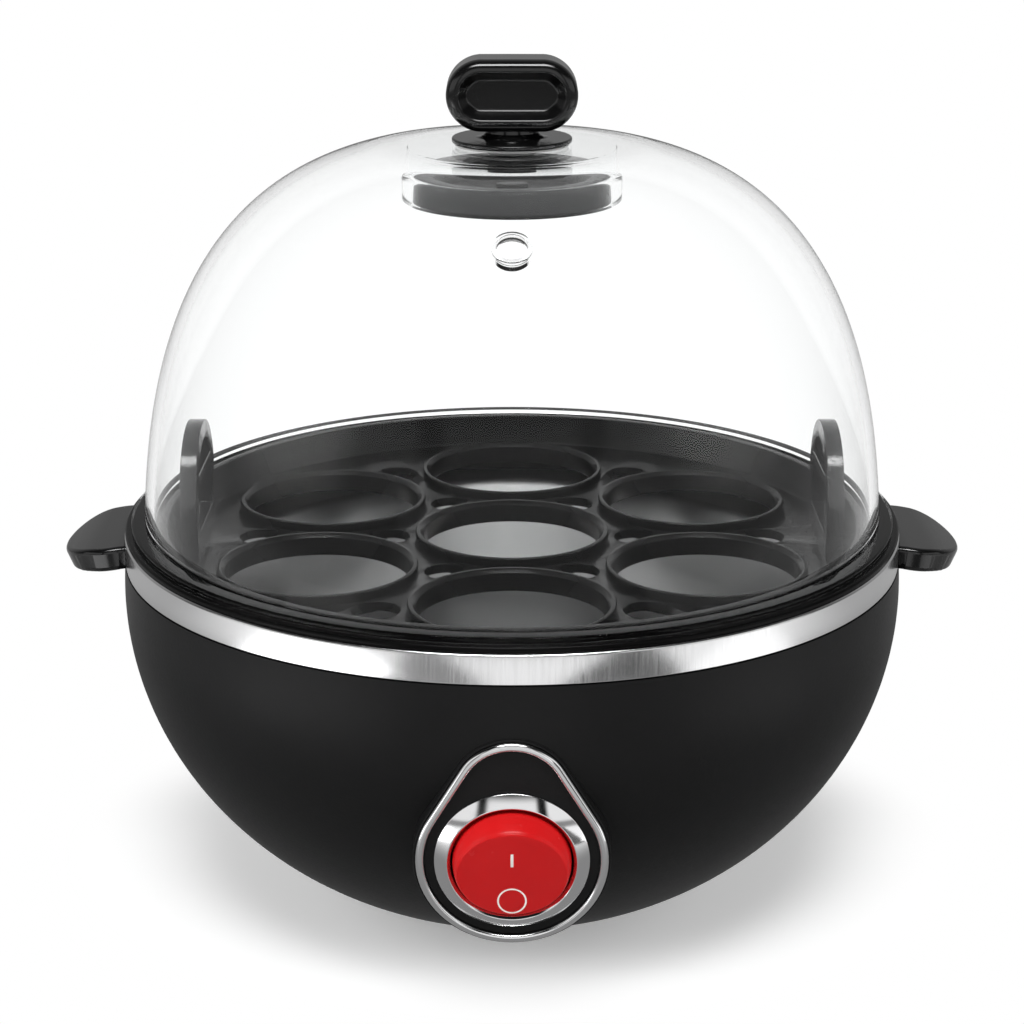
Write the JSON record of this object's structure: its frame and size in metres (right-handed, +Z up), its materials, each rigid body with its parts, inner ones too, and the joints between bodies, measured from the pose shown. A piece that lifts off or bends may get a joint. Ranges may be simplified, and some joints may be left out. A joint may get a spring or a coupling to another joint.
{
  "type": "electric egg cooker",
  "caption": "Electric egg cooker: round matt black bowl with a metal band and red rocker switch, egg tray with arch handles, and a clear dome lid with a knob.",
  "frame": {"origin": "on the floor under the middle of the bowl", "axes": "+Z up, -Y towards the switch at the front, +X towards the right ear seen from the front"},
  "size_m": [0.2014, 0.1771, 0.1885],
  "materials": {
    "aluminium": "plain",
    "block_white": "white",
    "brass": "plain",
    "chrome": "bright chrome",
    "clear_lid": "clear moulded plastic",
    "dish_steel": "drawn steel",
    "element_steel": "dull oxide",
    "fuse_white": "white",
    "gloss_black": "gloss black",
    "lamp_glass": "clear",
    "lead_white": "white insulation",
    "matte_black": "matt black",
    "phenolic": "dark brown",
    "red_rocker": "gloss red",
    "rubber_black": "black rubber",
    "satin_black": "satin black",
    "silicone": "soft grey",
    "steel_band": "satin steel",
    "zinc": "zinc plated"
  },
  "bodies": {
    "base": {"base_housing": "matte_black", "bottom_cover": "satin_black", "cord_gland": "rubber_black", "cover_screws": "zinc", "ear_left": "gloss_black", "ear_right": "gloss_black", "ear_screws": "zinc", "fuse_clip": "zinc", "heat_spreader": "aluminium", "heating_element": "element_steel", "heating_plate": "dish_steel", "internal_leads": "lead_white", "neon_lamp": "lamp_glass", "plate_nuts": "zinc", "plate_seal": "silicone", "rim_band": "steel_band", "rubber_feet": "rubber_black", "switch_bezel": "chrome", "switch_body": "satin_black", "switch_panel": "satin_black", "switch_terminals": "brass", "teardrop_trim": "chrome", "terminal_block": "block_white", "thermal_fuse": "fuse_white", "thermostat": "phenolic", "thermostat_screws": "zinc"},
    "rocker": {"rocker_button": "red_rocker"},
    "tray": {"egg_tray": "satin_black", "tray_handle_left": "gloss_black", "tray_handle_right": "gloss_black"},
    "lid": {"lid_dome": "clear_lid", "lid_collar": "clear_lid", "lid_knob": "gloss_black", "knob_disc": "gloss_black", "knob_screw": "zinc", "knob_seal": "silicone"}
  },
  "joints": [
    {"name": "rocker_press", "type": "hinge", "parent": "base", "child": "rocker", "pos_m": [0, -0.083, 0.04141], "axis": [-1, 0, 0], "range_deg": [0, 24]},
    {"name": "tray_lift", "type": "slide", "parent": "base", "child": "tray", "axis": [0, 0, 1], "range_m": [0, 0.12]},
    {"name": "lid_lift", "type": "slide", "parent": "tray", "child": "lid", "axis": [0, 0, 1], "range_m": [0, 0.12]}
  ]
}
